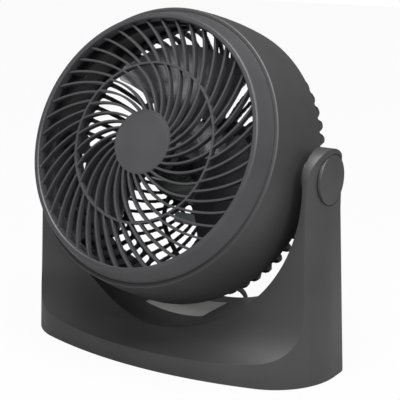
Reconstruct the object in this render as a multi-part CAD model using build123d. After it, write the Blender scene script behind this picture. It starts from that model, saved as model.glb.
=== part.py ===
from build123d import *

import math
import os

# Air circulator fan: a round head that tilts between the two arms of a saddle stand.
# Units are millimetres. X is to the right seen from the front, +Y is to the rear, +Z is up.
# The origin is on the floor, under the middle of the fan.

# ---- Driving dimensions -------------------------------------------------------------------

# Head, in its own frame: W runs along the fan's axis towards the front, from the tilt pivot.
tilt_at_rest = 22.5
pivot_y = 7.28
pivot_height = 161.8
drum_rear_radius = 120.0
drum_middle_radius = 117.9
drum_front_radius = 113.2
drum_front_w = 50.8
drum_middle_w = 20.9
drum_rear_w = -9.5
drum_wall = 2.8
seat_radius = 110.0
lip_radius = 104.1
opening_radius = 99.6
lip_w = 66.5
rib_front_w = 63.3
front_rib_depth = 5.0
front_rib_width = 1.7
middle_ring_radius = 64.3
hub_disc_radius = 25.8
outer_rib_count = 45
inner_rib_count = 30

# Rear grille
rear_rib_count = 60
rear_inner_rib_count = 45
rear_rib_width = 2.6
rear_hook_width = 3.6
rear_rib_height = 4.5
rear_hook_bend_radius = 27.0
rear_rim_radius = 117.5
rear_rim_inner_radius = 114.6
rear_rim_w = -11.5
rear_tongue_radius = 116.4
rear_tongue_w = -3.0
rear_ring_radius = 92.0
rear_ring_width = 3.0
rear_ring_front_w = -40.5
rear_ring_back_w = -45.4
rear_plate_radius = 46.0
rear_plate_front_w = -47.0
rear_plate_back_w = -50.0

# Motor and blade
motor_radius = 34.0
rotor_radius = 20.0
shaft_radius = 3.0
running_clearance = 0.05
screw_clearance = 0.05
blade_tip_radius = 90.5
blade_count = 3
blade_rise_per_degree = 0.485
blade_rise_per_radius = 0.117
blade_middle_w = 17.3
blade_middle_angle = 90.0
blade_middle_radius = 60.0
blade_thickness = 2.0
blade_hub_radius = 24.0
blade_hub_wall = 2.5
blade_hub_rear_w = 9.0
blade_hub_front_w = 46.0
bell_clearance_radius = 36.5
bell_clearance_w = 7.5

# Motor cover and knob
cover_radius = 36.5
cover_back_radius = 32.0
cover_back_w = -78.0
knob_radius = 14.0
knob_back_w = -92.0

# Stand
floor_gap = 1.0
stand_half_width = 143.6
stand_half_width_at_pivot = 137.9
stand_wall = 3.0
saddle_radius = 126.0
saddle_centre_height = 155.2
scoop_radius = 43.5
scoop_centre_y = -74.0
scoop_centre_z = 59.5
arm_top_radius = 24.5
arm_top_y = -2.5
arm_rear_y_at_floor = 28.0
draft_height = 135.6
bulge_height = 66.0
front_arc_radius = 365.6
front_arc_y = -69.4
front_corner_radius = 57.0
rear_corner_radius = 16.0
rear_bulge_radius = 200.0
rear_bulge_y = 50.0
hollow_height = 118.0
base_post_radius = 4.0
base_post_height = 90.0
base_screw_radius = 1.3
base_screw_length = 14.0
foot_radius = 7.0
foot_stem_radius = 2.5
label_front = 33.0
label_back = 25.0
label_width = 40.5
label_thickness = 0.3
plate_low = 1.5
plate_high = 3.5
base_screw_places = [(-85, 12), (85, 12), (-45, -46), (45, -46), (0, 38)]
foot_places = [(-122, 10), (122, 10), (-98, -38), (98, -38)]

# Pivots
web_inner_x = 120.0
web_outer_x = 131.0
cap_radius = 19.8
cap_recess_radius = 20.2
cap_thickness = 2.5
cap_skirt_radius = 16.5
cap_pocket_radius = 17.0
pivot_boss_x = 125.4
pivot_boss_radius = 15.0
pivot_inner_boss_radius = 9.0
pivot_inner_boss_x = 106.0
pivot_insert_x = 108.5
pivot_insert_radius = 4.2
pivot_thread_radius = 2.5
pivot_shoulder_radius = 5.0
pivot_head_radius = 9.0
pivot_head_thickness = 3.0
washer_thickness = 0.8

# Cord
cord_radius = 2.5
coil_mean_radius = 28.0
coil_pitch = 6.6
coil_turns_per_layer = 3
coil_centre = (-75.0, 79.0)
coil_level = 2.6
plug_x = -143.0
plug_cord_y = 84.0
plug_height = 16.0

STANDING = (Align.CENTER, Align.CENTER, Align.MIN)

head_plane = Plane(
    origin=(0, pivot_y, pivot_height),
    x_dir=(1, 0, 0),
    z_dir=(0, -math.cos(math.radians(tilt_at_rest)), math.sin(math.radians(tilt_at_rest))),
)


# ---- Helpers ------------------------------------------------------------------------------

def polar(radius, angle):
    """A point in a plane, from its radius and its angle in degrees."""
    return (radius * math.cos(math.radians(angle)), radius * math.sin(math.radians(angle)))


def rod(radius, low, high, centre=(0, 0)):
    """A round bar along Z between two heights."""
    return Pos(centre[0], centre[1], low) * Cylinder(radius, high - low, align=STANDING)


def sleeve(outer, inner, low, high, centre=(0, 0)):
    """A round tube along Z between two heights."""
    return rod(outer, low, high, centre) - rod(inner, low - 1, high + 1, centre)


def cross_rod(radius, x_from, x_to, y=0.0, z=0.0):
    """A round bar along X."""
    low = min(x_from, x_to)
    high = max(x_from, x_to)
    return Plane.YZ * rod(radius, low, high, (y, z))


def block(low, high):
    """A box between two corners."""
    size = [b - a for a, b in zip(low, high)]
    middle = [(a + b) / 2 for a, b in zip(low, high)]
    return Pos(*middle) * Box(*size)


def turned(*points):
    """A solid turned about Z from points (radius, height)."""
    return revolve(Plane.XZ * make_face(Polyline(*points, close=True)), Axis.Z)


def around(shape, count, first=0.0):
    """Copies of a shape at equal angles about Z."""
    return [Rot(0, 0, first + 360.0 * k / count) * shape for k in range(count)]


def joined(base, pieces):
    """One solid from a base and the pieces that grow from it."""
    return base.fuse(*pieces)


def cut_by(base, pieces):
    """The base with the pieces taken away."""
    return base.cut(*pieces)


nodes = {}


def keep_head(name, shape):
    """Stores a sub-part that is modelled in the head's frame."""
    nodes[name] = head_plane.location * shape


def keep_stand(name, shape):
    """Stores a sub-part that is modelled with the pivot over y = 0."""
    nodes[name] = Pos(0, pivot_y, 0) * shape


# ---- Stand --------------------------------------------------------------------------------

def stand_plan(inset):
    """The stand's outline on the floor, drawn in by an inset."""
    half_width = stand_half_width - inset
    corner = front_corner_radius - inset
    corner_x = stand_half_width - front_corner_radius
    arc_centre = (0, front_arc_y + front_arc_radius)
    arc = front_arc_radius - inset
    lean = math.degrees(math.atan2(-arc_centre[1], corner_x))
    front = polar_from(arc_centre, arc, -90)
    near = polar_from((corner_x, 0), corner, lean)
    rear_y = arm_rear_y_at_floor - inset
    turn = rear_corner_radius - inset
    turn_centre = (half_width - turn, rear_y - turn)
    right = [
        ThreePointArc(front, polar_from(arc_centre, arc, (lean - 90) / 2), near),
        ThreePointArc(near, polar_from((corner_x, 0), corner, lean / 2), (half_width, 0)),
        Line((half_width, 0), (half_width, rear_y - turn)),
        ThreePointArc((half_width, rear_y - turn), polar_from(turn_centre, turn, 45),
                      (half_width - turn, rear_y)),
        Line((half_width - turn, rear_y), (0, rear_y)),
        Line((0, rear_y), front),
    ]
    half = make_face(Curve() + right)
    bulge = Pos(0, rear_bulge_y - rear_bulge_radius) * Circle(rear_bulge_radius - inset)
    bulge = bulge & (Pos(0, 40) * Rectangle(190, 60))
    return half + mirror(half, Plane.YZ) + bulge


def polar_from(centre, radius, angle):
    """A point on a circle, from its centre, radius and angle."""
    step = polar(radius, angle)
    return (centre[0] + step[0], centre[1] + step[1])


def stand_side(inset):
    """The stand seen from its side, as a face in Y and Z: scooped front, round arm top."""
    scoop = scoop_radius + inset
    scoop_centre = (scoop_centre_y, scoop_centre_z)
    top_radius = arm_top_radius - inset
    top_centre = (arm_top_y, pivot_height)
    rise = pivot_height - scoop_centre_z
    run = arm_top_y - scoop_centre_y
    lean = math.degrees(math.atan2(rise, run) + math.asin((scoop + top_radius) / math.hypot(rise, run))) - 90
    scoop_start = polar_from(scoop_centre, scoop, -90)
    scoop_end = polar_from(scoop_centre, scoop, lean)
    top_start = polar_from(top_centre, top_radius, 180 + lean)
    top_end = polar_from(top_centre, top_radius, 0)
    behind = rear_bulge_y + 10
    edges = [
        Line((scoop_centre_y, -1), scoop_start),
        ThreePointArc(scoop_start, polar_from(scoop_centre, scoop, -45), scoop_end),
        Line(scoop_end, top_start),
        ThreePointArc(top_start, polar_from(top_centre, top_radius, 90), top_end),
        Polyline(top_end, (top_end[0], draft_height), (arm_rear_y_at_floor, bulge_height),
                 (behind, bulge_height), (behind, -1), (scoop_centre_y, -1)),
    ]
    return make_face(Curve() + edges)


def stand_front(inset):
    """The space between the arms seen from the front, as a face in X and Z: a round saddle."""
    saddle = Pos(0, saddle_centre_height) * Circle(saddle_radius + inset)
    above = Pos(0, saddle_centre_height + 60) * Rectangle(2 * (saddle_radius + inset), 120)
    return saddle + above


def stand_block(inset):
    """The stand as a solid, drawn in by an inset. Its walls lean in up to the pivot caps."""
    lean = stand_half_width - stand_half_width_at_pivot
    foot = stand_plan(inset)
    shoulder = Pos(0, 0, draft_height) * stand_plan(inset + lean)
    arms = extrude(shoulder, pivot_height + arm_top_radius + 1 - draft_height)
    side = extrude(Plane.YZ * stand_side(inset), stand_half_width + 10, both=True)
    front = extrude(Plane.XZ * stand_front(inset), 100, both=True)
    return (loft([foot, shoulder], ruled=True) + arms) & side - front


def make_stand_shell():
    outer = stand_block(0) - block((-200, -200, -2), (200, 200, floor_gap))
    room = stand_block(stand_wall) & block((-200, -200, -2), (200, 200, hollow_height))
    shell = outer - room
    posts = [rod(base_post_radius, plate_high, base_post_height, place) & room for place in base_screw_places]
    shell = joined(shell, posts)
    holes = [rod(base_screw_radius + screw_clearance, plate_high - 1, base_screw_length + 2, place)
             for place in base_screw_places]
    outside = stand_half_width + 5
    for side in (-1, 1):
        holes.append(cross_rod(
            pivot_shoulder_radius + running_clearance, side * web_inner_x, side * outside, 0, pivot_height))
        holes.append(cross_rod(
            cap_pocket_radius, side * web_outer_x, side * outside, 0, pivot_height))
        holes.append(cross_rod(
            cap_recess_radius, side * (stand_half_width_at_pivot - cap_thickness),
            side * outside, 0, pivot_height))
    return cut_by(shell, holes)


def make_base():
    plate = extrude(Pos(0, 0, plate_low) * stand_plan(stand_wall + 0.3), plate_high - plate_low)
    sink_depth = 1.1
    above = plate_high + 1
    holes = [rod(base_screw_radius + 0.3, 0, above, place) for place in base_screw_places]
    holes += [rod(base_screw_radius + 1.9, 0, plate_low + sink_depth, place) for place in base_screw_places]
    holes += [rod(foot_stem_radius + screw_clearance, 0, above, place) for place in foot_places]
    keep_stand("base_plate", cut_by(plate, holes))

    screws = []
    for place in base_screw_places:
        head = rod(base_screw_radius + 1.6, plate_low + 0.1, plate_low + sink_depth, place)
        screws.append(head + rod(base_screw_radius, plate_low + sink_depth, base_screw_length, place))
    keep_stand("base_screws", Compound(children=screws))

    feet = [rod(foot_radius, 0, plate_low, place) + rod(foot_stem_radius, plate_low, plate_high + 1.5, place)
            for place in foot_places]
    keep_stand("rubber_feet", Compound(children=feet))


def make_label():
    low = -90 - math.degrees(math.asin(label_front / saddle_radius))
    high = -90 + math.degrees(math.asin(label_back / saddle_radius))
    inner = saddle_radius - label_thickness
    under = ThreePointArc(polar(saddle_radius, low), polar(saddle_radius, -90), polar(saddle_radius, high))
    over = ThreePointArc(polar(inner, high), polar(inner, -90), polar(inner, low))
    ends = [Line(under @ 1, over @ 0), Line(over @ 1, under @ 0)]
    label = extrude(Plane.XZ * make_face(Curve() + [under, over] + ends), -label_width)
    keep_stand("rating_label", Pos(0, -10.5, saddle_centre_height) * label)


def make_pivot_caps():
    for side, name in ((-1, "left"), (1, "right")):
        face_x = side * stand_half_width_at_pivot
        back_x = side * (stand_half_width_at_pivot - cap_thickness)
        disc = cross_rod(cap_radius, back_x, face_x, 0, pivot_height)
        face_edges = disc.edges().filter_by(GeomType.CIRCLE).sort_by(Axis.X)
        disc = fillet([face_edges[-1] if side > 0 else face_edges[0]], 0.8)
        skirt = cross_rod(cap_skirt_radius, side * (web_outer_x + 0.5), back_x, 0, pivot_height)
        skirt = skirt - cross_rod(cap_skirt_radius - 1.5, side * web_outer_x, back_x, 0, pivot_height)
        keep_stand("pivot_cap_" + name, disc + skirt)
        washer_x = web_outer_x + 0.05
        washer = cross_rod(
            pivot_head_radius + 1, side * washer_x, side * (washer_x + washer_thickness), 0, pivot_height)
        hole = cross_rod(
            pivot_shoulder_radius + 0.2, side * (washer_x - 1), side * (washer_x + 2), 0, pivot_height)
        keep_stand("tilt_washer_" + name, washer - hole)


# ---- Head shell ---------------------------------------------------------------------------

flange_w = 43.7
flange_back_w = 41.0
grille_screw_radius = 104.5
rear_screw_radius = 113.5
rear_screw_count = 4
rear_screw_angle = 45
rear_screw_hole_radius = 1.4 + screw_clearance


def make_drum():
    outer = ThreePointArc(
        (drum_rear_radius, drum_rear_w),
        (drum_middle_radius, drum_middle_w),
        (drum_front_radius, drum_front_w))
    flange_wall = drum_front_radius + 1.0 - drum_wall
    inner = ThreePointArc(
        (flange_wall, flange_back_w),
        (drum_middle_radius - drum_wall, drum_middle_w),
        (drum_rear_radius - drum_wall, drum_rear_w))
    path = [
        outer,
        Polyline((drum_front_radius, drum_front_w), (seat_radius + 0.2, drum_front_w),
                 (seat_radius + 0.2, flange_w), (101, flange_w), (101, flange_back_w),
                 (flange_wall, flange_back_w)),
        inner,
        Line((drum_rear_radius - drum_wall, drum_rear_w), (drum_rear_radius, drum_rear_w)),
    ]
    drum = revolve(Plane.XZ * make_face(Curve() + path), Axis.Z)
    ring = drum.edges().filter_by(GeomType.CIRCLE)
    rims = (drum_front_radius, drum_rear_radius)
    corners = [e for e in ring if min(abs(e.radius - r) for r in rims) < 0.1]
    drum = fillet(corners, 1.2)
    skin = drum_rear_radius - drum_wall / 2
    outside = turned((skin, -40), (skin, 60), (skin + 20, 60), (skin + 20, -40))
    added = []
    for side in (-1, 1):
        added.append(cross_rod(pivot_boss_radius, side * (skin - 1), side * pivot_boss_x) & outside)
        added.append(cross_rod(pivot_inner_boss_radius, side * pivot_inner_boss_x, side * (skin - 0.5)))
    screw_post = rod(4, drum_rear_w, 10, (rear_screw_radius, 0))
    added += around(screw_post, rear_screw_count, rear_screw_angle)
    drum = joined(drum, added)
    cuts = []
    for side in (-1, 1):
        cuts.append(cross_rod(
            pivot_insert_radius + screw_clearance, side * (pivot_insert_x - 0.5), side * (pivot_boss_x + 1)))
    pilot = rod(rear_screw_hole_radius, -10, 6, (rear_screw_radius, 0))
    cuts += around(pilot, rear_screw_count, rear_screw_angle)
    cuts += around(rod(1.6, 40, 45, (grille_screw_radius, 0)), 3, 30)
    keep_head("drum_housing", cut_by(drum, cuts))


def make_pivot_fasteners():
    shoulder_end = web_outer_x + washer_thickness + 0.1
    head_end = shoulder_end + pivot_head_thickness
    inserts = []
    for side in (-1, 1):
        outer = cross_rod(pivot_insert_radius, side * pivot_insert_x, side * pivot_boss_x)
        bore = cross_rod(pivot_thread_radius, side * (pivot_insert_x - 1), side * (pivot_boss_x + 1))
        inserts.append(outer - bore)
    keep_head("pivot_inserts", Compound(children=inserts))
    for side, name in ((-1, "left"), (1, "right")):
        thread = cross_rod(pivot_thread_radius, side * (pivot_insert_x + 1), side * pivot_boss_x)
        shoulder = cross_rod(pivot_shoulder_radius, side * pivot_boss_x, side * shoulder_end)
        head = cross_rod(pivot_head_radius, side * shoulder_end, side * head_end)
        cross = block((-1, -6, -1), (1, 6, 1)) + block((-1, -1, -6), (1, 1, 6))
        bolt = joined(thread, [shoulder, head]) - Pos(side * head_end, 0, 0) * cross
        keep_head("pivot_bolt_" + name, bolt)


def swept_rib(start, middle, end, width):
    """A grille rib seen along the axis, an arc through three (radius, angle) points."""
    return SlotArc(ThreePointArc(polar(*start), polar(*middle), polar(*end)), width)


def make_front_grille():
    lip = turned(
        (opening_radius, lip_w - 0.8), (opening_radius + 0.8, lip_w), (lip_radius - 1.0, lip_w),
        (lip_radius, lip_w - 1.0), (seat_radius, drum_front_w), (seat_radius, flange_w),
        (seat_radius - 2.2, flange_w), (seat_radius - 2.2, 50.4), (102.9, 63.2), (101.6, 63.2),
        (101.6, rib_front_w - front_rib_depth), (opening_radius, rib_front_w - front_rib_depth),
    )
    outer_rib = swept_rib((middle_ring_radius, 2.2), (82, 13.1), (100.4, 22.9), front_rib_width)
    inner_rib = swept_rib((hub_disc_radius - 1, 1.5), (44, 21.2), (middle_ring_radius, 37.3), front_rib_width)
    flat = Circle(hub_disc_radius) + (Circle(middle_ring_radius + 0.9) - Circle(middle_ring_radius - 0.9))
    flat = flat + around(outer_rib, outer_rib_count) + around(inner_rib, inner_rib_count)
    web = extrude(Pos(0, 0, rib_front_w - front_rib_depth) * flat, front_rib_depth)
    posts = around(rod(3.2, flange_w, 52, (grille_screw_radius, 0)), 3, 30)
    grille = joined(lip, [web] + posts)
    pocket = rod(hub_disc_radius - 1.6, rib_front_w - 2.0, rib_front_w + 1)
    screw_holes = around(rod(1.3 + screw_clearance, 40, 51, (grille_screw_radius, 0)), 3, 30)
    keep_head("front_grille", cut_by(grille, [pocket] + screw_holes))

    badge = rod(hub_disc_radius - 1.6, rib_front_w - 2.0, rib_front_w)
    keep_head("hub_badge", badge)

    screw = rod(2.8, flange_back_w - 2, flange_back_w) + rod(1.3, flange_back_w, 50)
    screws = around(Pos(grille_screw_radius, 0, 0) * screw, 3, 30)
    keep_head("front_grille_screws", Compound(children=screws))


def rear_shoulder():
    """One outer rib of the rear grille: a flat hook in radius and height, turned to stand on X."""
    bend_radius = rear_hook_bend_radius
    bend_r = rear_rim_radius - 0.5 - bend_radius
    bend_w = -18.0
    top_w = drum_rear_w - 0.1
    inner_radius = bend_radius - rear_rib_height
    mid_out = polar_from((bend_r, bend_w), bend_radius, -45)
    mid_in = polar_from((bend_r, bend_w), inner_radius, -45)
    outer_r = bend_r + bend_radius
    inner_r = bend_r + inner_radius
    path = [
        Line((outer_r, top_w), (outer_r, bend_w)),
        ThreePointArc((outer_r, bend_w), mid_out, (bend_r, bend_w - bend_radius)),
        Line((bend_r, bend_w - bend_radius), (bend_r, bend_w - inner_radius)),
        ThreePointArc((bend_r, bend_w - inner_radius), mid_in, (inner_r, bend_w)),
        Polyline((inner_r, bend_w), (inner_r, top_w), (outer_r, top_w)),
    ]
    return extrude(Plane.XZ * make_face(Curve() + path), rear_hook_width / 2, both=True)


gland_place = (6.0, -92.0)
gland_radius = 3.5
outlet_place = (-32.0, -23.0)
capacitor_low = (-19.0, -50.5, -46.0)
capacitor_high = (7.0, -41.5, -33.0)
cover_screw_angles = (30, 150, 270)
cover_screw_radius = 29.5
cover_screw_thread_radius = 1.3
motor_screw_radius = 31.0
motor_screw_thread_radius = 1.6
motor_screw_hole_radius = motor_screw_thread_radius + screw_clearance


def rear_inner_ribs():
    """The swept ribs between the plate and the ring, which bow out to the rear."""
    start_radius = rear_plate_radius - 1
    middle_radius = 70.0
    plate_edge_w = rear_plate_back_w - 0.6
    dome_out = ThreePointArc(
        (rear_ring_radius, -45.0), (middle_radius, -49.0), (start_radius, plate_edge_w))
    dome_in = ThreePointArc(
        (start_radius, rear_plate_front_w), (middle_radius, -44.5), (rear_ring_radius, -39.6))
    sides = [Line(dome_out @ 1, dome_in @ 0), Line(dome_in @ 1, dome_out @ 0)]
    dome = revolve(Plane.XZ * make_face(Curve() + [dome_out, dome_in] + sides), Axis.Z)
    swept = swept_rib((start_radius, 9.0), (middle_radius, 0.0), (rear_ring_radius, -8.5), rear_rib_width)
    flat = Sketch() + around(swept, rear_inner_rib_count, 3.5)
    return (extrude(Pos(0, 0, -55) * flat, 20) & dome).solids()


def make_rear_grille():
    rim = turned(
        (rear_rim_inner_radius, rear_tongue_w), (rear_tongue_radius, rear_tongue_w),
        (rear_tongue_radius, drum_rear_w), (rear_rim_radius, drum_rear_w),
        (rear_rim_radius, rear_rim_w), (rear_rim_inner_radius, rear_rim_w))
    ring = sleeve(rear_ring_radius + rear_ring_width / 2, rear_ring_radius - rear_ring_width / 2,
                  rear_ring_back_w, rear_ring_front_w)
    plate = rod(rear_plate_radius, rear_plate_back_w, rear_plate_front_w)
    plate_edge = sleeve(rear_plate_radius, rear_plate_radius - 2,
                        rear_plate_back_w - 0.6, rear_plate_front_w + 0.5)
    tab_radius = 4.2
    tab_w = -13.0
    tab = rod(tab_radius, tab_w, drum_rear_w, (rear_screw_radius, 0))
    gland_boss = rod(7, -48, -38.5, gland_place)
    outlet = rod(5, rear_plate_front_w, -37, outlet_place)
    pad = block((-16, -45, rear_plate_front_w), (-4, -41.5, capacitor_low[2]))
    extras = around(rear_shoulder(), rear_rib_count) + around(tab, rear_screw_count, rear_screw_angle)
    extras += [gland_boss, outlet, pad, ring, plate, plate_edge] + rear_inner_ribs()
    grille = joined(rim, extras)
    under_head = rod(3.1, tab_w - 9, tab_w, (rear_screw_radius, 0))
    hole = rod(rear_screw_hole_radius, tab_w - 1, drum_rear_w + 1, (rear_screw_radius, 0))
    post_room = rod(tab_radius, drum_rear_w, 0, (rear_screw_radius, 0))
    cuts = around(under_head, rear_screw_count, rear_screw_angle)
    cuts += around(hole, rear_screw_count, rear_screw_angle)
    cuts += around(post_room, rear_screw_count, rear_screw_angle)
    cuts += [cross_rod(pivot_inner_boss_radius + 0.3, side * 105, side * 118) for side in (-1, 1)]
    cuts += around(rod(motor_screw_hole_radius, -51, -46, (motor_screw_radius, 0)), 4, 45)
    cuts += [rod(cover_screw_thread_radius + screw_clearance, -51, -46, polar(cover_screw_radius, a))
             for a in cover_screw_angles]
    cuts.append(rod(4.2, -52, -46, (-16.0, -37.6)))
    cuts.append(rod(gland_radius + 0.1, -49, -38, gland_place))
    cuts.append(lead_tip())
    keep_head("rear_grille", cut_by(grille, cuts))

    screw = rod(2.8, tab_w - 2, tab_w) + rod(rear_screw_hole_radius - screw_clearance, tab_w, 5)
    screws = around(Pos(rear_screw_radius, 0, 0) * screw, rear_screw_count, rear_screw_angle)
    keep_head("rear_grille_screws", Compound(children=screws))


# ---- Motor --------------------------------------------------------------------------------

bell_front_w = 6.0
core_front_w = -14.0
core_rear_w = -34.0
rear_bell_w = rear_plate_front_w


bush_radius = 7.0
bush_seat_radius = 9.5
front_bush_w = -2.0
rear_bush_w = -38.0
winding_height = 7.0
winding_radius = 28.0


def make_motor():
    wall = 2.0
    front_bell = turned(
        (bush_radius, bell_front_w), (motor_radius - 5, bell_front_w), (motor_radius, bell_front_w - 5),
        (motor_radius, core_front_w), (motor_radius - wall, core_front_w),
        (motor_radius - wall, bell_front_w - 6), (motor_radius - 6, bell_front_w - wall),
        (bush_seat_radius, bell_front_w - wall), (bush_seat_radius, front_bush_w),
        (bush_radius, front_bush_w))
    within = rod(motor_radius, rear_bell_w, bell_front_w)
    posts = around(rod(2.8, core_front_w, 3, (motor_screw_radius, 0)), 4, 45)
    front_bell = joined(front_bell, [p & within for p in posts])
    holes = around(rod(motor_screw_hole_radius, rear_plate_back_w - 1, 1, (motor_screw_radius, 0)), 4, 45)
    keep_head("motor_front_bell", cut_by(front_bell, holes))

    rear_bell = turned(
        (0, rear_bell_w), (motor_radius, rear_bell_w), (motor_radius, core_rear_w),
        (motor_radius - wall, core_rear_w), (motor_radius - wall, rear_bell_w + wall),
        (bush_seat_radius, rear_bell_w + wall), (bush_seat_radius, rear_bush_w), (bush_radius, rear_bush_w),
        (bush_radius, rear_bell_w + wall), (0, rear_bell_w + wall))
    posts = around(rod(2.8, rear_bell_w, core_rear_w, (motor_screw_radius, 0)), 4, 45)
    rear_bell = joined(rear_bell, [p & within for p in posts])
    outlet_room = rod(5.3, rear_bell_w - 1, -36, outlet_place)
    keep_head("motor_rear_bell", cut_by(rear_bell, holes + [outlet_room]))

    bore = rotor_radius + 0.5
    core = sleeve(motor_radius, bore, core_rear_w, core_front_w)
    slot = block((bore - 2, -1, core_rear_w - 1), (bore + 4.5, 1, core_front_w + 1))
    keep_head("stator_core", cut_by(core, holes + around(slot, 12, 15)))

    turns = [
        sleeve(winding_radius, bore + 2, core_front_w, core_front_w + winding_height),
        sleeve(winding_radius, bore + 2, core_rear_w - winding_height, core_rear_w),
    ]
    keep_head("stator_winding", Compound(children=turns))

    bushing_bore = shaft_radius + running_clearance
    keep_head("bearing_front", sleeve(bush_radius, bushing_bore, front_bush_w, bell_front_w))
    keep_head("bearing_rear", sleeve(bush_radius, bushing_bore, rear_bell_w + wall, rear_bush_w))

    screw = rod(2.8, rear_plate_back_w - 2, rear_plate_back_w)
    screw = screw + rod(motor_screw_thread_radius, rear_plate_back_w, 0)
    screws = around(Pos(motor_screw_radius, 0, 0) * screw, 4, 45)
    keep_head("motor_screws", Compound(children=screws))

    keep_head("motor_rotor", sleeve(rotor_radius, shaft_radius, core_rear_w, core_front_w))
    shaft = rod(shaft_radius, rear_bell_w + wall + 0.5, blade_hub_front_w + 4)
    end_play = 0.4
    collars = [
        sleeve(5, shaft_radius - 0.5, rear_bush_w + end_play, core_rear_w),
        sleeve(5, shaft_radius - 0.5, core_front_w, front_bush_w - end_play),
    ]
    keep_head("motor_shaft", joined(shaft, collars))


# ---- Blade --------------------------------------------------------------------------------

def blade_plan():
    """One blade seen along the axis, from its root round its leading edge, tip and trailing edge."""
    corners = [
        (18, 80, 0), (33, 66, 8), (45, 57, 10), (89.5, 56.5, 9), (93, 72, 0), (92.5, 92, 0),
        (88, 110, 0), (82, 129, 8), (74.5, 135.5, 5), (64, 130, 0), (54, 124, 0), (44, 119, 0),
        (34, 116, 0), (18, 110, 0),
    ]
    points = [polar(radius, angle) for radius, angle, rounding in corners]
    outline = FilletPolyline(*points, radius=[rounding for radius, angle, rounding in corners], close=True)
    return make_face(outline) & Circle(blade_tip_radius)


def blade_height(radius, angle):
    """How far in front of the pivot the blade's middle sheet lies."""
    rise = blade_rise_per_degree * (angle - blade_middle_angle)
    return blade_middle_w + rise + blade_rise_per_radius * (radius - blade_middle_radius)


def blade_surface():
    """A thin twisted sheet that climbs towards the front as the angle and the radius grow."""
    first = 48
    last = 145
    steps = 9
    ends = (17.0, blade_tip_radius + 6)
    half = blade_thickness / 2
    sections = []
    for k in range(steps):
        angle = first + (last - first) * k / (steps - 1)
        low = [(radius, blade_height(radius, angle) - half) for radius in ends]
        high = [(radius, blade_height(radius, angle) + half) for radius in reversed(ends)]
        sections.append(Rot(0, 0, angle) * (Plane.XZ * make_face(Polyline(*low, *high, close=True))))
    return loft(sections)


def make_blade():
    hub_front = blade_hub_front_w
    leaf = blade_surface() & extrude(Pos(0, 0, -40) * blade_plan(), 110)
    leaf = leaf - rod(bell_clearance_radius, -40, bell_clearance_w)
    hub_inner = blade_hub_radius - blade_hub_wall
    boss_rear_w = 12.0
    hub = turned(
        (shaft_radius, hub_front), (blade_hub_radius - 3, hub_front),
        (blade_hub_radius, hub_front - 3), (blade_hub_radius, blade_hub_rear_w),
        (hub_inner, blade_hub_rear_w), (hub_inner, hub_front - 3.5),
        (bush_radius, hub_front - 3.5), (bush_radius, boss_rear_w), (shaft_radius, boss_rear_w))
    inside = rod(hub_inner + 1, -60, 60)
    blades = around(leaf - inside, blade_count)
    keep_head("fan_blade", joined(hub, [s for b in blades for s in b.solids()]))

    nut_radius = 8.0
    nut_height = 7.0
    nut = rod(nut_radius, hub_front, hub_front + nut_height) - rod(shaft_radius, hub_front - 1, hub_front + 4)
    grips = around(rod(1.4, hub_front - 1, hub_front + nut_height + 1, (nut_radius + 0.4, 0)), 12)
    keep_head("blade_nut", cut_by(nut, grips))


# ---- Motor cover, switch and knob ---------------------------------------------------------

switch_front_w = -64.0
switch_back_w = -76.0
switch_width = 24.0
switch_bore_w = -66.0
knob_stem_radius = 4.0


def make_cover():
    wall = 2.0
    bend_w = -58.0
    bore = knob_stem_radius + running_clearance
    cover = turned(
        (cover_radius, rear_plate_back_w), (cover_radius, bend_w), (cover_back_radius, cover_back_w),
        (bore, cover_back_w), (bore, cover_back_w + wall),
        (cover_back_radius - wall, cover_back_w + wall), (cover_radius - wall, bend_w),
        (cover_radius - wall, rear_plate_back_w))
    rims = cover.edges().filter_by(GeomType.CIRCLE)
    cover = fillet([e for e in rims if abs(e.radius - cover_back_radius) < 0.1], 1.2)
    places = [polar(cover_screw_radius, a) for a in cover_screw_angles]
    body = turned((0, rear_plate_back_w), (cover_radius, rear_plate_back_w), (cover_radius, bend_w),
                  (cover_back_radius, cover_back_w), (0, cover_back_w))
    cover = joined(cover, [rod(3.2, cover_back_w, rear_plate_back_w, p) & body for p in places])
    sink_w = cover_back_w + wall
    cuts = [rod(cover_screw_thread_radius + 0.1, cover_back_w - 1, rear_plate_back_w + 1, p) for p in places]
    cuts += [rod(2.9, cover_back_w - 1, sink_w, p) for p in places]
    vent = block((20, -1.1, cover_back_w - 1), (27, 1.1, sink_w + 1))
    for third in (0, 120, 240):
        cuts += [Rot(0, 0, third + 45 + 15 * k) * vent for k in range(7)]
    keep_head("motor_cover", cut_by(cover, cuts))

    screws = []
    for place in places:
        thread = rod(cover_screw_thread_radius, sink_w, rear_plate_front_w, place)
        screws.append(rod(2.7, sink_w - 1.6, sink_w, place) + thread)
    keep_head("cover_screws", Compound(children=screws))

    half = switch_width / 2
    switch = block((-half, -half, switch_back_w), (half, half, switch_front_w))
    switch = switch - rod(shaft_radius + running_clearance, switch_back_w - 1, switch_bore_w)
    keep_head("rotary_switch", switch)
    keep_head("capacitor", fillet(block(capacitor_low, capacitor_high).edges(), 0.8))


def make_knob():
    base_w = cover_back_w - 0.4
    top_w = -84.0
    step_w = switch_back_w - 0.2
    disc = turned(
        (0, base_w), (knob_radius + 1, base_w), (knob_radius + 1, base_w - 2.6), (knob_radius - 2, top_w),
        (0, top_w))
    grip_length = knob_radius - 2.5
    grip = block((-grip_length, -3.5, knob_back_w), (grip_length, 3.5, top_w + 1))
    grip = fillet(grip.edges().filter_by(Axis.Z), 2.5)
    stem = rod(knob_stem_radius, base_w, step_w) + rod(shaft_radius, step_w, switch_bore_w - 0.5)
    keep_head("speed_knob", joined(disc, [grip, stem]))


# ---- Cord ---------------------------------------------------------------------------------

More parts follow.
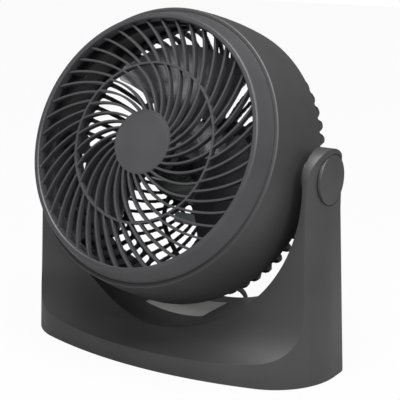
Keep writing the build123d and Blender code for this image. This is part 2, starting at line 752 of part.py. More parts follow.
# The lead inside the rear grille, from the strain relief up to the motor's outlet.
lead_points = [
    (2.4, -88.8, -35.8),
    (-8.0, -79.5, -36.5),
    (-22.0, -66.0, -37.5),
    (-33.0, -52.0, -39.5),
    (-35.5, -40.0, -41.0),
    (-34.0, -27.0, -42.0),
]

# The free cord, from the strain relief's tail down to the floor and on to the coil, and then
# from the coil to the plug. Points are measured from the pivot's foot, chosen by hand to follow
# the stretch that shows under the head.
gland_tail_w = -78.0
first_bend_w = -94.0
drop_points = [
    (8.2, 69.5, 32.2),
    (9.3, 83.0, 23.3),
    (8.0, 90.5, 12.0),
    (0.5, 96.5, 4.6),
    (-13.0, 100.8, 2.6),
    (-20.5, 103.4, 2.6),
]
run_points = [
    (-20.5, 103.4, 2.6),
    (-28.0, 106.0, 2.6),
    (-43.0, 113.0, 2.6),
    (-57.0, 116.9, 2.6),
    (-70.0, 116.9, 2.6),
]
tail_points = [
    (-80.0, 113.6, 9.2),
    (-93.0, 113.6, 9.2),
    (-109.0, 114.6, 6.4),
    (-124.5, 113.2, 4.4),
    (-136.3, 106.5, 5.8),
    (-143.0, 94.7, 8.8),
    (-143.0, 84.0, 8.8),
]


def bend_radii(points):
    """The largest radius that each corner of a route allows."""
    radii = []
    for before, here, after in zip(points, points[1:], points[2:]):
        arriving = Vector(*here) - Vector(*before)
        leaving = Vector(*after) - Vector(*here)
        turn = math.radians(arriving.get_angle(leaving))
        radii.append(0.45 * min(arriving.length, leaving.length) / math.tan(turn / 2))
    return radii


def tube(name, points, radius):
    """A round tube along straight runs joined by tangent arcs."""
    radii = bend_radii(points)
    path = FilletPolyline(*points, radius=radii)
    start = Plane(origin=path @ 0, z_dir=path % 0)
    solid = sweep(start * Circle(radius), path=path)
    expected = math.pi * radius ** 2 * path.length
    print(name, "length", round(path.length, 1), "radii", [round(r, 1) for r in radii],
          "volume ratio", round(solid.volume / expected, 4))
    return solid


def lead_tip():
    """The last stretch of the lead, in the side of the motor's outlet."""
    end = Vector(*lead_points[-1])
    before = Vector(*lead_points[-2])
    along = (end - before).normalized()
    seat = Plane(origin=end - along * 8, z_dir=along)
    return seat.location * rod(2.0, 0, 8)


def coil_edges():
    """Piled loops in half turns: in along the floor, up a layer, and out again on top."""
    inward = [(-coil_pitch / 2, 0.0)] * (2 * coil_turns_per_layer)
    climb = [(0.0, coil_pitch)]
    outward = [(coil_pitch / 2, 0.0)] * (2 * coil_turns_per_layer - 1)
    radius = coil_mean_radius + coil_turns_per_layer * coil_pitch / 2
    side = 1
    point = Vector(radius, 0, coil_level)
    edges = [Line(point - Vector(0, 2 * cord_radius, 0), point)]
    for widening, rise in inward + climb + outward:
        radius += widening
        target = Vector(-side * radius, 0, point.Z + rise)
        bow = (target - point).length / 2
        edges.append(ThreePointArc(point, (point + target) / 2 + Vector(0, side * bow, 0), target))
        point = target
        side = -side
    edges.append(Line(point, point + Vector(0, side * 2 * cord_radius, 0)))
    return edges


def least_gap(path, step=2.0, apart=15.0):
    """The smallest space between stretches of a tube that pass each other, on sampled points."""
    count = int(path.length / step)
    points = [path @ (k / count) for k in range(count + 1)]
    skip = int(apart / step)
    nearest = min((a - b).length for k, a in enumerate(points) for b in points[k + skip:])
    return nearest - 2 * cord_radius


def make_coil():
    path = Wire(coil_edges())
    start = Plane(origin=path @ 0, z_dir=path % 0)
    coil = sweep(start * Circle(cord_radius), path=path)
    expected = math.pi * cord_radius ** 2 * path.length
    print("cord_coil length", round(path.length, 1), "least gap", round(least_gap(path), 2),
          "volume ratio", round(coil.volume / expected, 4))
    keep_stand("cord_coil", Pos(coil_centre[0], coil_centre[1], 0) * Rot(0, 0, 90) * coil)


def make_plug():
    relief_end = plug_cord_y - 14
    body_end = relief_end - 40
    outline = make_face(FilletPolyline(
        (plug_x - 16, relief_end), (plug_x + 16, relief_end), (plug_x + 22, relief_end - 16),
        (plug_x + 22, body_end), (plug_x - 22, body_end), (plug_x - 22, relief_end - 16),
        radius=6, close=True))
    body = extrude(outline, plug_height)
    body = fillet(body.faces().sort_by(Axis.Z)[-1].edges(), 2)
    relief = Pos(plug_x, relief_end - 2, tail_points[-1][2]) * Rot(-90, 0, 0) * Cone(
        5.5, 3.4, plug_cord_y - relief_end + 2, align=STANDING)
    live_y = relief_end - 10
    pins = [
        block((plug_x - 11.1 - 3.15, live_y - 2, 6), (plug_x - 11.1 + 3.15, live_y + 2, plug_height + 17.7)),
        block((plug_x + 11.1 - 3.15, live_y - 2, 6), (plug_x + 11.1 + 3.15, live_y + 2, plug_height + 17.7)),
        block((plug_x - 2, live_y - 22.2 - 4, 6), (plug_x + 2, live_y - 22.2 + 4, plug_height + 22.7)),
    ]
    keep_stand("plug_body", cut_by(body + relief, pins))
    keep_stand("plug_pins", Compound(children=pins))


def make_cord():
    keep_head("lead_wire", tube("lead_wire", lead_points, 2.0))
    gland = joined(rod(3.5, -51, -33.5, gland_place), [
        rod(5.2, -38.5, -33.0, gland_place),
        rod(5.5, -51, -48, gland_place),
        Pos(gland_place[0], gland_place[1], 0) * turned(
            (0, -51), (4.6, -51), (3.3, gland_tail_w), (0, gland_tail_w)),
    ])
    keep_head("cord_gland", gland - lead_root())

    exit_point = head_plane.from_local_coords((*gland_place, gland_tail_w))
    first_bend = head_plane.from_local_coords((*gland_place, first_bend_w))
    foot = Vector(0, pivot_y, 0)
    start = [tuple(exit_point - foot), tuple(first_bend - foot)]
    keep_stand("cord_drop", tube("cord_drop", start + drop_points, cord_radius))
    keep_stand("cord_run", tube("cord_run", run_points, cord_radius))
    keep_stand("cord_tail", tube("cord_tail", tail_points, cord_radius))
    make_coil()
    make_plug()


def lead_root():
    """The first stretch of the lead, in the side of the strain relief."""
    start = Vector(*lead_points[0])
    after = Vector(*lead_points[1])
    seat = Plane(origin=start, z_dir=(after - start).normalized())
    return seat.location * rod(2.0, 0, 8)


def write_all():
    os.makedirs("parts", exist_ok=True)
    for name, shape in nodes.items():
        shape.label = name
        export_step(shape, os.path.join("parts", name + ".step"))


keep_stand("stand_shell", make_stand_shell())
make_base()
make_label()
make_pivot_caps()
make_drum()
make_pivot_fasteners()
make_front_grille()
make_rear_grille()
make_motor()
make_blade()
make_cover()
make_knob()
make_cord()
write_all()
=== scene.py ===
import math

import bpy
from mathutils import Matrix, Vector


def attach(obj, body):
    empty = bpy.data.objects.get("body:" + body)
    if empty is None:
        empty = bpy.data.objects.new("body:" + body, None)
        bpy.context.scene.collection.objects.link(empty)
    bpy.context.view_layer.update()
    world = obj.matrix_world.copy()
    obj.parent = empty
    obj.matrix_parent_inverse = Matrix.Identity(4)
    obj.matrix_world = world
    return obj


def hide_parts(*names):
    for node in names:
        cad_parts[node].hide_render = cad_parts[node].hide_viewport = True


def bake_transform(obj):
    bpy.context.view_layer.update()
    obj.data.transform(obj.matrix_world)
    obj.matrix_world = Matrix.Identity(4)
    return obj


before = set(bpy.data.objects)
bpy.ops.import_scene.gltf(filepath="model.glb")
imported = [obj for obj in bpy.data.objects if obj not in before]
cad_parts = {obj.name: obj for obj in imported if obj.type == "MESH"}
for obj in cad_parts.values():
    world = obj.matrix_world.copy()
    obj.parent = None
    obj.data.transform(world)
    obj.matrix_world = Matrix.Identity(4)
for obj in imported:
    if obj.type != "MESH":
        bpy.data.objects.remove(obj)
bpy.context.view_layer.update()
print("frame loaded:", len(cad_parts), "nodes")

mm = 0.001
pivotY = 7.28       # the tilt axis stands this far behind the middle of the fan, mm
standMatrix = Matrix.Translation((0, pivotY, 0))
toMetres = Matrix.Scale(mm, 4)
mergeDistance = 0.00001     # metres


# materials

def linearColour(code):
    # an sRGB code as linear light, with full opacity
    parts = [int(code[k:k + 2], 16) / 255 for k in (0, 2, 4)]
    return [c / 12.92 if c <= 0.04045 else ((c + 0.055) / 1.055) ** 2.4 for c in parts] + [1.0]


def addNode(tree, kind, values=None, links=None, **settings):
    node = tree.nodes.new(kind)
    for name, value in settings.items():
        setattr(node, name, value)
    for socket, value in (values or {}).items():
        node.inputs[socket].default_value = value
    for socket, source in (links or {}).items():
        tree.links.new(source, node.inputs[socket])
    return node


def newMaterial(name):
    material = bpy.data.materials.new(name)
    material.use_nodes = True
    tree = material.node_tree
    tree.nodes.clear()
    return material, tree


def finishMaterial(tree, shader):
    output = addNode(tree, "ShaderNodeOutputMaterial")
    tree.links.new(shader.outputs[0], output.inputs["Surface"])


plasticEdgeRadius = 0.6     # mm
flowRange = (0.32, 0.70)    # where the two tints of a moulding lie in its noise


def mouldedPlastic(name, look):
    # moulded plastic: a fine eroded grain in the tool, slight flow shading, uneven gloss from handling
    material, tree = newMaterial(name)
    place = addNode(tree, "ShaderNodeTexCoord")
    grain = addNode(tree, "ShaderNodeTexNoise",
                    {"Scale": 1 / (look["grainSize"] * mm), "Detail": 2.0, "Roughness": 0.6},
                    {"Vector": place.outputs["Object"]})
    flow = addNode(tree, "ShaderNodeTexNoise",
                   {"Scale": 1 / (look["flowSize"] * mm), "Detail": 3.0},
                   {"Vector": place.outputs["Object"]})
    tint = addNode(tree, "ShaderNodeValToRGB", links={"Fac": flow.outputs["Fac"]})
    tint.color_ramp.elements[0].position = flowRange[0]
    tint.color_ramp.elements[1].position = flowRange[1]
    tint.color_ramp.elements[0].color = linearColour(look["darkColour"])
    tint.color_ramp.elements[1].color = linearColour(look["paleColour"])
    gloss = addNode(tree, "ShaderNodeMapRange",
                    {"To Min": look["roughness"] - look["roughnessSpread"],
                     "To Max": look["roughness"] + look["roughnessSpread"]},
                    {"Value": grain.outputs["Fac"]})
    # the tool's edges are broken by a small radius, which catches the light
    edge = addNode(tree, "ShaderNodeBevel", {"Radius": plasticEdgeRadius * mm}, samples=4)
    bump = addNode(tree, "ShaderNodeBump",
                   {"Strength": look["grainStrength"], "Distance": look["grainDepth"] * mm},
                   {"Height": grain.outputs["Fac"], "Normal": edge.outputs["Normal"]})
    shader = addNode(tree, "ShaderNodeBsdfPrincipled",
                     {"IOR": look["ior"], "Specular IOR Level": look["specular"]},
                     {"Base Color": tint.outputs["Color"], "Roughness": gloss.outputs["Result"],
                      "Normal": bump.outputs["Normal"]})
    finishMaterial(tree, shader)
    return material


metalLineRange = (0.3, 0.7)      # where the two tints of a metal lie in its noise
metalGlossSpread = (0.06, 0.08)  # how far its roughness goes down and up
metalLineStrength = 0.25


def workedMetal(name, look):
    # metal: spots that break up its highlight, drawn out into lines where an axis is stretched;
    # the turn only moves them to another part of the noise
    material, tree = newMaterial(name)
    place = addNode(tree, "ShaderNodeTexCoord")
    turned = addNode(tree, "ShaderNodeMapping",
                     {"Rotation": [math.radians(a) for a in look["turn"]], "Scale": look["stretch"]},
                     {"Vector": place.outputs["Object"]})
    lines = addNode(tree, "ShaderNodeTexNoise",
                    {"Scale": 1 / (look["lineSpacing"] * mm), "Detail": 3.0},
                    {"Vector": turned.outputs["Vector"]})
    tint = addNode(tree, "ShaderNodeValToRGB", links={"Fac": lines.outputs["Fac"]})
    tint.color_ramp.elements[0].position = metalLineRange[0]
    tint.color_ramp.elements[1].position = metalLineRange[1]
    tint.color_ramp.elements[0].color = linearColour(look["darkColour"])
    tint.color_ramp.elements[1].color = linearColour(look["paleColour"])
    gloss = addNode(tree, "ShaderNodeMapRange",
                    {"To Min": look["roughness"] - metalGlossSpread[0],
                     "To Max": look["roughness"] + metalGlossSpread[1]},
                    {"Value": lines.outputs["Fac"]})
    bump = addNode(tree, "ShaderNodeBump",
                   {"Strength": metalLineStrength, "Distance": look["lineDepth"] * mm},
                   {"Height": lines.outputs["Fac"]})
    shader = addNode(tree, "ShaderNodeBsdfPrincipled", {"Metallic": 1.0},
                     {"Base Color": tint.outputs["Color"], "Roughness": gloss.outputs["Result"],
                      "Normal": bump.outputs["Normal"]})
    finishMaterial(tree, shader)
    return material


plasticLooks = {
    # high-impact polystyrene, spark-eroded tool: dull and even, with a grain too fine to count
    "standPolystyrene": {"darkColour": "323234", "paleColour": "3a3a3b", "roughness": 0.48,
                         "roughnessSpread": 0.06, "grainSize": 0.9, "grainStrength": 0.20,
                         "grainDepth": 0.08, "flowSize": 60, "ior": 1.55, "specular": 0.5},
    # the same, from the drum's tool: slightly softer grain
    "drumPolystyrene": {"darkColour": "313132", "paleColour": "383838", "roughness": 0.46,
                        "roughnessSpread": 0.06, "grainSize": 0.9, "grainStrength": 0.18,
                        "grainDepth": 0.08, "flowSize": 70, "ior": 1.55, "specular": 0.5},
    # grille ABS: thin ribs, a little shinier than the shell
    "grilleAbs": {"darkColour": "37373a", "paleColour": "3e3e40", "roughness": 0.42,
                  "roughnessSpread": 0.05, "grainSize": 0.8, "grainStrength": 0.14,
                  "grainDepth": 0.06, "flowSize": 40, "ior": 1.53, "specular": 0.5},
    "rearGrilleAbs": {"darkColour": "1d1d1f", "paleColour": "232325", "roughness": 0.45,
                      "roughnessSpread": 0.05, "grainSize": 0.8, "grainStrength": 0.14,
                      "grainDepth": 0.06, "flowSize": 40, "ior": 1.53, "specular": 0.5},
    # blade AS resin from a polished tool: dark, with a clear highlight
    "bladeResin": {"darkColour": "2b2b2f", "paleColour": "313135", "roughness": 0.20,
                   "roughnessSpread": 0.05, "grainSize": 1.4, "grainStrength": 0.05,
                   "grainDepth": 0.03, "flowSize": 30, "ior": 1.57, "specular": 0.5},
    "badgeAbs": {"darkColour": "3c3c3e", "paleColour": "424243", "roughness": 0.40,
                 "roughnessSpread": 0.05, "grainSize": 0.7, "grainStrength": 0.12,
                 "grainDepth": 0.05, "flowSize": 25, "ior": 1.53, "specular": 0.5},
    "capAbs": {"darkColour": "333335", "paleColour": "3b3b3c", "roughness": 0.44,
               "roughnessSpread": 0.06, "grainSize": 0.8, "grainStrength": 0.16,
               "grainDepth": 0.07, "flowSize": 20, "ior": 1.53, "specular": 0.5},
    "washerNylon": {"darkColour": "1e1e1f", "paleColour": "28282a", "roughness": 0.5,
                    "roughnessSpread": 0.06, "grainSize": 0.9, "grainStrength": 0.1,
                    "grainDepth": 0.05, "flowSize": 10, "ior": 1.53, "specular": 0.5},
    # silver polyester film: metallic flake under a satin face
    "silverFilm": {"darkColour": "cfcecb", "paleColour": "dcdbd8", "roughness": 0.34,
                   "roughnessSpread": 0.05, "grainSize": 0.6, "grainStrength": 0.08,
                   "grainDepth": 0.02, "flowSize": 9, "ior": 1.6, "specular": 0.6},
    "footRubber": {"darkColour": "1b1b1b", "paleColour": "232323", "roughness": 0.75,
                   "roughnessSpread": 0.08, "grainSize": 0.6, "grainStrength": 0.3,
                   "grainDepth": 0.08, "flowSize": 8, "ior": 1.5, "specular": 0.35},
    # PVC sheath: extruded, faintly waxy
    "cordPvc": {"darkColour": "1a1a1b", "paleColour": "222223", "roughness": 0.42,
                "roughnessSpread": 0.06, "grainSize": 1.2, "grainStrength": 0.12,
                "grainDepth": 0.06, "flowSize": 14, "ior": 1.52, "specular": 0.45},
    "switchPhenolic": {"darkColour": "1c1a19", "paleColour": "262321", "roughness": 0.5,
                       "roughnessSpread": 0.08, "grainSize": 0.5, "grainStrength": 0.2,
                       "grainDepth": 0.06, "flowSize": 6, "ior": 1.6, "specular": 0.5},
    # capacitor case: pale grey polypropylene
    "capacitorCase": {"darkColour": "8b9194", "paleColour": "a2a8aa", "roughness": 0.42,
                      "roughnessSpread": 0.06, "grainSize": 0.8, "grainStrength": 0.12,
                      "grainDepth": 0.05, "flowSize": 7, "ior": 1.49, "specular": 0.5},
}
metalLooks = {
    # zinc plate over steel: cool grey, slightly mottled
    "zincPlate": {"darkColour": "8d9092", "paleColour": "b4b6b6", "roughness": 0.36,
                  "lineSpacing": 0.4, "lineDepth": 0.02, "turn": (0, 0, 0), "stretch": (1, 1, 1)},
    # stacked steel sheets, drawn as level bands of about 1 mm
    "laminatedSteel": {"darkColour": "3a3b3d", "paleColour": "74767a", "roughness": 0.45,
                       "lineSpacing": 1.0, "lineDepth": 0.10, "turn": (-67.5, 0, 0),
                       "stretch": (0.05, 0.05, 1)},
    # enamelled copper wire: fine level bands stand in for its turns
    "copperEnamel": {"darkColour": "7c3f1c", "paleColour": "b9693a", "roughness": 0.34,
                     "lineSpacing": 0.8, "lineDepth": 0.15, "turn": (-67.5, 0, 0),
                     "stretch": (0.1, 0.1, 1)},
    "sinteredBronze": {"darkColour": "7b6238", "paleColour": "a08452", "roughness": 0.5,
                       "lineSpacing": 0.3, "lineDepth": 0.03, "turn": (0, 0, 0), "stretch": (1, 1, 1)},
    "castAluminium": {"darkColour": "8e8f91", "paleColour": "aeafb0", "roughness": 0.48,
                      "lineSpacing": 0.7, "lineDepth": 0.05, "turn": (0, 0, 0), "stretch": (1, 1, 1)},
    "pinBrass": {"darkColour": "a8873f", "paleColour": "caa95a", "roughness": 0.28,
                 "lineSpacing": 0.4, "lineDepth": 0.02, "turn": (0, 0, 0), "stretch": (1, 1, 0.1)},
}
materials = {name: mouldedPlastic(name, look) for name, look in plasticLooks.items()}
materials.update({name: workedMetal(name, look) for name, look in metalLooks.items()})

nodeFinish = {
    "stand_shell": "standPolystyrene", "base_plate": "standPolystyrene", "base_screws": "zincPlate",
    "rubber_feet": "footRubber", "rating_label": "silverFilm",
    "pivot_cap_left": "capAbs", "pivot_cap_right": "capAbs",
    "tilt_washer_left": "washerNylon", "tilt_washer_right": "washerNylon",
    "drum_housing": "drumPolystyrene", "pivot_inserts": "pinBrass",
    "pivot_bolt_left": "zincPlate", "pivot_bolt_right": "zincPlate",
    "front_grille": "grilleAbs", "hub_badge": "badgeAbs", "front_grille_screws": "zincPlate",
    "rear_grille": "rearGrilleAbs", "rear_grille_screws": "zincPlate",
    "motor_front_bell": "castAluminium", "motor_rear_bell": "castAluminium",
    "stator_core": "laminatedSteel", "stator_winding": "copperEnamel",
    "bearing_front": "sinteredBronze", "bearing_rear": "sinteredBronze",
    "motor_screws": "zincPlate", "motor_rotor": "castAluminium", "motor_shaft": "zincPlate",
    "fan_blade": "bladeResin", "blade_nut": "bladeResin",
    "motor_cover": "rearGrilleAbs", "cover_screws": "zincPlate", "rotary_switch": "switchPhenolic",
    "capacitor": "capacitorCase", "speed_knob": "capAbs",
    "lead_wire": "cordPvc", "cord_gland": "footRubber",
    "plug_body": "cordPvc", "plug_pins": "pinBrass",
}
for nodeName, finish in nodeFinish.items():
    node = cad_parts[nodeName]
    node.data.materials.clear()
    node.data.materials.append(materials[finish])
print("materials:", len(materials))


# small modelling helpers

def clearSelection():
    if bpy.context.mode != "OBJECT":
        bpy.ops.object.mode_set(mode="OBJECT")
    bpy.ops.object.select_all(action="DESELECT")


def pick(piece):
    clearSelection()
    piece.select_set(True)
    bpy.context.view_layer.objects.active = piece


def settle(piece, matrix):
    # moves a piece drawn in millimetres into the fan's frame, in metres, its object at the origin
    piece.data.transform(toMetres @ matrix)
    piece.data.update()


def dress(piece, name, finish, body):
    piece.name = name
    piece.data.name = name
    piece.data.materials.clear()
    piece.data.materials.append(materials[finish])
    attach(piece, body)


def mergedCopy(nodeName):
    # a CAD node's mesh is loose triangles, so its copy is merged before it is shaped
    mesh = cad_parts[nodeName].data.copy()
    piece = bpy.data.objects.new(nodeName + "Copy", mesh)
    bpy.context.scene.collection.objects.link(piece)
    pick(piece)
    bpy.ops.object.mode_set(mode="EDIT")
    bpy.ops.mesh.select_all(action="SELECT")
    bpy.ops.mesh.remove_doubles(threshold=mergeDistance)
    bpy.ops.object.mode_set(mode="OBJECT")
    return piece


def addModifier(piece, kind, **settings):
    modifier = piece.modifiers.new(kind.lower(), kind)
    for name, value in settings.items():
        setattr(modifier, name, value)
    pick(piece)
    bpy.ops.object.modifier_apply(modifier=modifier.name)


# rear grille

rearGrilleFacts = {
    "voxel": 1.3, "smoothShare": 0.5, "smoothSteps": 3,
    "swell": 0.10,      # gives back what smoothing takes
}


def makeRearGrille(facts):
    # the solid's square ribs become round ones
    grille = mergedCopy("rear_grille")
    addModifier(grille, "REMESH", mode="VOXEL", voxel_size=facts["voxel"] * mm)
    addModifier(grille, "SMOOTH", factor=facts["smoothShare"], iterations=facts["smoothSteps"])
    addModifier(grille, "DISPLACE", strength=facts["swell"] * mm, mid_level=0)
    bpy.ops.object.shade_smooth()
    return grille


rearGrillePiece = makeRearGrille(rearGrilleFacts)
dress(rearGrillePiece, "rearGrilleRibs", "rearGrilleAbs", "head")
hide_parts("rear_grille")
print("rear grille:", len(rearGrillePiece.data.polygons), "faces")


# stand

standFacts = {"edgeRadius": 1.6, "segments": 3, "sharpAngle": 28.0, "flatAngle": 0.4, "smoothAngle": 35.0}


def makeStand(facts):
    # flat triangles are joined first, so that only the moulding's own edges are rounded
    stand = mergedCopy("stand_shell")
    bpy.ops.object.mode_set(mode="EDIT")
    bpy.ops.mesh.select_all(action="SELECT")
    bpy.ops.mesh.dissolve_limited(angle_limit=math.radians(facts["flatAngle"]))
    bpy.ops.object.mode_set(mode="OBJECT")
    addModifier(stand, "BEVEL", width=facts["edgeRadius"] * mm, segments=facts["segments"],
                limit_method="ANGLE", angle_limit=math.radians(facts["sharpAngle"]),
                use_clamp_overlap=True)
    bpy.ops.object.shade_smooth_by_angle(angle=math.radians(facts["smoothAngle"]))
    return stand


standPiece = makeStand(standFacts)
dress(standPiece, "standMoulding", "standPolystyrene", "stand")
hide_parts("stand_shell")
print("stand:", len(standPiece.data.polygons), "faces")


# cord

cordFacts = {
    "width": 5.0, "thickness": 3.0, "waist": 2.3,     # flat twin flex
    "coreArc": (-20.0, 200.0), "coreSteps": 6,        # the round part of each core, degrees
    "length": 1242.0,
    "coilCentre": (-75.0, 79.0), "coilMeanRadius": 28.0, "coilPitch": 6.6,
    "turnsPerLayer": 3, "coilLevel": 2.6, "pointsPerTurn": 16,
    "exit": (6.0, 36.83, 46.98),                      # end of the strain relief's tail
    "blendReach": 22.0,                               # how much of it would bend as the head tilts
    "curveOrder": 3, "curveSteps": 8,
}


def coilPoints(facts):
    # piled loops in half turns: inwards on the floor, up a layer, and out again on top
    radius = facts["coilMeanRadius"] + facts["turnsPerLayer"] * facts["coilPitch"] / 2
    halfTurns = [(-facts["coilPitch"] / 2, 0.0)] * (2 * facts["turnsPerLayer"])
    halfTurns += [(0.0, facts["coilPitch"])]
    halfTurns += [(facts["coilPitch"] / 2, 0.0)] * (2 * facts["turnsPerLayer"] - 1)
    steps = facts["pointsPerTurn"] // 2
    level = facts["coilLevel"]
    angle = 90.0
    points = []
    for widening, rise in halfTurns:
        for k in range(steps):
            part = (k + 0.5) / steps
            turn = math.radians(angle + 180 * part)
            reach = (radius + widening * part) / math.cos(math.pi / facts["pointsPerTurn"])
            points.append((facts["coilCentre"][0] + reach * math.cos(turn),
                           facts["coilCentre"][1] + reach * math.sin(turn),
                           level + rise * part))
        radius += widening
        level += rise
        angle += 180
    return points


def cordRoute(facts):
    start = [facts["exit"], (6.0, 51.61, 40.86)]
    drop = [(8.2, 69.5, 32.2), (9.3, 83.0, 23.3), (8.0, 90.5, 12.0), (0.5, 96.5, 4.6),
            (-13.0, 100.8, 2.6), (-28.0, 106.0, 2.6), (-43.0, 113.0, 2.6), (-57.0, 116.9, 2.6),
            (-68.0, 117.1, 2.6)]
    tail = [(-82.0, 113.6, 9.2), (-93.0, 113.6, 9.2), (-109.0, 114.6, 6.4), (-124.5, 113.2, 4.4),
            (-136.3, 106.5, 5.8), (-143.0, 94.7, 8.8), (-143.0, 84.0, 8.8)]
    return start + drop + coilPoints(facts) + tail


def routeCurve(name, facts):
    # one smooth line through the air and along the floor, in metres
    points = cordRoute(facts)
    curve = bpy.data.curves.new(name, "CURVE")
    curve.dimensions = "3D"
    curve.resolution_u = facts["curveSteps"]
    spline = curve.splines.new("NURBS")
    spline.points.add(len(points) - 1)
    for point, place in zip(spline.points, points):
        place = toMetres @ standMatrix @ Vector(place)
        point.co = (*place, 1.0)
    spline.order_u = facts["curveOrder"]
    spline.use_endpoint_u = True
    return curve


def flexProfile(facts):
    # figure-of-eight section: two cores side by side under one sheath, standing on edge
    curve = bpy.data.curves.new("flexSection", "CURVE")
    curve.dimensions = "2D"
    half = facts["width"] / 2
    core = facts["thickness"] / 2
    centre = half - core
    arcStart, arcEnd = facts["coreArc"]
    outline = []
    for k in range(facts["coreSteps"] + 1):
        angle = math.radians(arcStart + (arcEnd - arcStart) * k / facts["coreSteps"])
        outline.append((core * math.cos(angle), centre + core * math.sin(angle)))
    outline.append((-facts["waist"] / 2, 0.0))
    outline += [(-x, -y) for x, y in outline[:-1]] + [(facts["waist"] / 2, 0.0)]
    spline = curve.splines.new("POLY")
    spline.points.add(len(outline) - 1)
    for point, (x, y) in zip(spline.points, outline):
        point.co = (x * mm, y * mm, 0, 1)
    spline.use_cyclic_u = True
    section = bpy.data.objects.new("flexSection", curve)
    bpy.context.scene.collection.objects.link(section)
    return section


def makeCord(facts):
    curve = routeCurve("mainsCord", facts)
    line = bpy.data.objects.new("mainsCord", curve)
    bpy.context.scene.collection.objects.link(line)
    bare = bpy.data.meshes.new_from_object(line)
    path = [tuple(v.co) for v in bare.vertices]
    bpy.data.meshes.remove(bare)
    section = flexProfile(facts)
    curve.twist_mode = "Z_UP"
    curve.bevel_mode = "OBJECT"
    curve.bevel_object = section
    curve.use_fill_caps = True
    pick(line)
    bpy.ops.object.convert(target="MESH")
    bpy.data.objects.remove(section)
    line.name = "mainsCord"
    bpy.ops.object.mode_set(mode="EDIT")
    bpy.ops.mesh.select_all(action="SELECT")
    bpy.ops.mesh.remove_doubles(threshold=2 * mergeDistance)
    bpy.ops.mesh.normals_make_consistent(inside=False)
    bpy.ops.object.mode_set(mode="OBJECT")
    bpy.ops.object.shade_smooth()
    return line, path


tieFacts = {"angle": 330.0, "inner": 15.6, "outer": 40.8, "bottom": 0.5, "top": 12.9,
            "width": 8.0, "thickness": 0.8, "corner": 3.5, "cornerSteps": 6, "smoothAngle": 40.0}


def makeTie(facts, coilCentre):
    # a soft strap closed round both layers of the coil
    clearSelection()
    bpy.ops.mesh.primitive_plane_add(size=1, location=(0, 0, 0))
    tie = bpy.context.object
    size = (facts["outer"] - facts["inner"], facts["top"] - facts["bottom"], 1, 1)
    tie.data.transform(Matrix.Diagonal(size))
    bpy.ops.object.mode_set(mode="EDIT")
    bpy.ops.mesh.select_all(action="SELECT")
    bpy.ops.mesh.delete(type="ONLY_FACE")
    bpy.ops.mesh.select_all(action="SELECT")
    bpy.ops.mesh.bevel(offset=facts["corner"], segments=facts["cornerSteps"], affect="VERTICES")
    bpy.ops.mesh.select_all(action="SELECT")
    bpy.ops.mesh.extrude_edges_move(TRANSFORM_OT_translate={"value": (0, 0, facts["width"])})
    bpy.ops.mesh.select_all(action="SELECT")
    bpy.ops.mesh.normals_make_consistent(inside=False)
    bpy.ops.object.mode_set(mode="OBJECT")
    addModifier(tie, "SOLIDIFY", thickness=facts["thickness"], offset=0)
    bpy.ops.object.shade_smooth_by_angle(angle=math.radians(facts["smoothAngle"]))
    angle = math.radians(facts["angle"])
    outwards = Vector((math.cos(angle), math.sin(angle), 0))
    along = Vector((math.sin(angle), -math.cos(angle), 0))
    middle = Vector((*coilCentre, (facts["top"] + facts["bottom"]) / 2))
    middle = middle + outwards * (facts["outer"] + facts["inner"]) / 2 - along * facts["width"] / 2
    turn = Matrix((
        (outwards.x, 0, along.x, middle.x),
        (outwards.y, 0, along.y, middle.y),
        (0, 1, 0, middle.z),
        (0, 0, 0, 1),
    ))
    settle(tie, standMatrix @ turn)
    return tie


tiePiece = makeTie(tieFacts, cordFacts["coilCentre"])
dress(tiePiece, "coilTie", "washerNylon", "stand")
cordPiece, cordPath = makeCord(cordFacts)
cordLength = sum((Vector(b) - Vector(a)).length for a, b in zip(cordPath, cordPath[1:]))
print("cord:", round(cordLength, 4), "m along", len(cordPath), "points")
cordPiece.data.materials.clear()
cordPiece.data.materials.append(materials["cordPvc"])
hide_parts("cord_drop", "cord_run", "cord_coil", "cord_tail")
# the first stretch runs straight out of the strain relief, and its way is worked out here; nothing in
# this script turns it with the head. A longer turning stretch would be drawn through the saddle as the
# head tilts up. The cord is tied to neither body.
exitWay = (Vector(cordRoute(cordFacts)[1]) - Vector(cordFacts["exit"])).normalized()
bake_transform(cordPiece)


# camera, floor and light

cameraFacts = {
    "place": (536.3, -779.62, 372.2),   # mm, in the fan's frame
    "turn": 33.47, "lookDown": 14.48,   # degrees
    "focalLength": 106.06, "sensor": 36.0,
    "clip": (0.01, 50.0),               # metres
}
cameraData = bpy.data.cameras.new("camera")
cameraData.lens = cameraFacts["focalLength"]
cameraData.sensor_width = cameraFacts["sensor"]
cameraData.clip_start, cameraData.clip_end = cameraFacts["clip"]
camera = bpy.data.objects.new("camera", cameraData)
camera.location = toMetres @ Vector(cameraFacts["place"])
camera.rotation_euler = (math.radians(90 - cameraFacts["lookDown"]), 0, math.radians(cameraFacts["turn"]))
bpy.context.scene.collection.objects.link(camera)
bpy.context.scene.camera = camera


studioFacts = {
    "floorSize": 6.0, "paperColour": "b4b4b4", "paperWhiteness": 0.955, "softLight": 0.18,
}
lampFacts = {   # places and targets in mm, sizes in metres, power in watts
    "topLight": {"place": (150, -350, 1300), "target": (0, 0, 150), "size": (0.9, 0.9), "power": 25.0},
    "frontLight": {"place": (380, -1140, 740), "target": (0, 0, 170), "size": (0.5, 0.5), "power": 4.0},
    "rightLight": {"place": (1250, -250, 1000), "target": (0, 0, 130), "size": (0.7, 0.9), "power": 11.0},
}


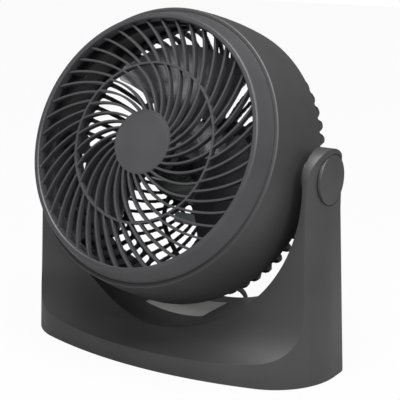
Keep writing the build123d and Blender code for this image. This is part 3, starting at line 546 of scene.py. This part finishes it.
def makeFloor():
    # the camera sees nearly white paper, and everything else sees it as grey
    clearSelection()
    bpy.ops.mesh.primitive_plane_add(size=studioFacts["floorSize"], location=(0, 0, 0))
    floor = bpy.context.object
    floor.name = "studioFloor"
    material, tree = newMaterial("studioPaper")
    path = addNode(tree, "ShaderNodeLightPath")
    paper = addNode(tree, "ShaderNodeBsdfDiffuse", {"Color": linearColour(studioFacts["paperColour"])})
    white = addNode(tree, "ShaderNodeEmission", {"Color": (1, 1, 1, 1), "Strength": 1.0})
    share = addNode(tree, "ShaderNodeMath", {1: studioFacts["paperWhiteness"]},
                    {0: path.outputs["Is Camera Ray"]}, operation="MULTIPLY")
    mix = addNode(tree, "ShaderNodeMixShader",
                  links={0: share.outputs[0], 1: paper.outputs[0], 2: white.outputs[0]})
    finishMaterial(tree, mix)
    floor.data.materials.append(material)


def areaLight(name, facts):
    data = bpy.data.lights.new(name, "AREA")
    data.shape = "RECTANGLE"
    data.size, data.size_y = facts["size"]
    data.energy = facts["power"]
    lamp = bpy.data.objects.new(name, data)
    lamp.location = toMetres @ Vector(facts["place"])
    aim = toMetres @ Vector(facts["target"]) - lamp.location
    lamp.rotation_euler = aim.to_track_quat("-Z", "Y").to_euler()
    bpy.context.scene.collection.objects.link(lamp)


def makeWorld():
    # the camera sees white behind the fan, and the fan is lit by a softer share of it
    world = bpy.data.worlds.new("studio")
    bpy.context.scene.world = world
    world.use_nodes = True
    tree = world.node_tree
    tree.nodes.clear()
    path = addNode(tree, "ShaderNodeLightPath")
    soft = addNode(tree, "ShaderNodeBackground",
                   {"Color": linearColour("ffffff"), "Strength": studioFacts["softLight"]})
    white = addNode(tree, "ShaderNodeBackground", {"Color": (1, 1, 1, 1), "Strength": 1.0})
    mix = addNode(tree, "ShaderNodeMixShader",
                  links={0: path.outputs["Is Camera Ray"], 1: soft.outputs[0], 2: white.outputs[0]})
    output = addNode(tree, "ShaderNodeOutputWorld")
    tree.links.new(mix.outputs[0], output.inputs["Surface"])


makeFloor()
makeWorld()
for name, facts in lampFacts.items():
    areaLight(name, facts)
bpy.context.scene.view_settings.view_transform = "Standard"
print("camera and light ready")
